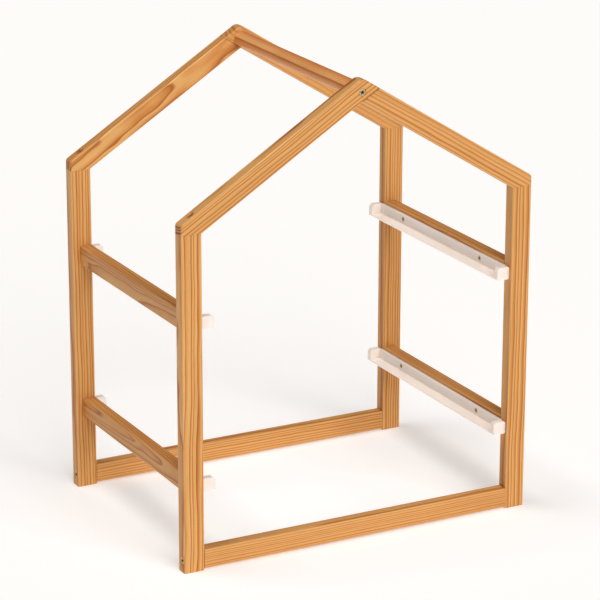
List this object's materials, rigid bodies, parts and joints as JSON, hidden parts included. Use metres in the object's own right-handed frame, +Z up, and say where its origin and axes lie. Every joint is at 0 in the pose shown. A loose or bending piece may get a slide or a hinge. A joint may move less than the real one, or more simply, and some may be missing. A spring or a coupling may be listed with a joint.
{
  "type": "house-shaped bin storage frame",
  "caption": "Open house-shaped pine storage frame with slide-in plastic runners on both sides, which carry bins one above the other.",
  "frame": {"origin": "on the floor, under the middle of the frame", "axes": "+X across a gable towards the right-hand posts seen from the front, +Y from the front gable to the back gable, +Z up"},
  "size_m": [0.48, 0.336, 0.586],
  "materials": {
    "lacquered_pine": "honey-toned pine with clear growth lines under satin lacquer",
    "runner_plastic": "moulded off-white polypropylene, slightly translucent, satin",
    "screw_steel": "yellow-zinc plated steel",
    "dowel_beech": "plain turned beech"
  },
  "bodies": {
    "root": {"front_left_post": "lacquered_pine", "front_right_post": "lacquered_pine", "back_left_post": "lacquered_pine", "back_right_post": "lacquered_pine", "front_bottom_rail": "lacquered_pine", "back_bottom_rail": "lacquered_pine", "front_left_rafter": "lacquered_pine", "front_right_rafter": "lacquered_pine", "back_left_rafter": "lacquered_pine", "back_right_rafter": "lacquered_pine", "ridge_pole": "lacquered_pine", "left_upper_rail": "lacquered_pine", "left_lower_rail": "lacquered_pine", "right_upper_rail": "lacquered_pine", "right_lower_rail": "lacquered_pine", "left_upper_runner": "runner_plastic", "left_lower_runner": "runner_plastic", "right_upper_runner": "runner_plastic", "right_lower_runner": "runner_plastic", "bottom_rail_screws": "screw_steel", "eave_screws": "screw_steel", "ridge_screws": "screw_steel", "runner_screws": "screw_steel", "side_rail_dowels": "dowel_beech", "apex_dowels": "dowel_beech"}
  },
  "joints": []
}
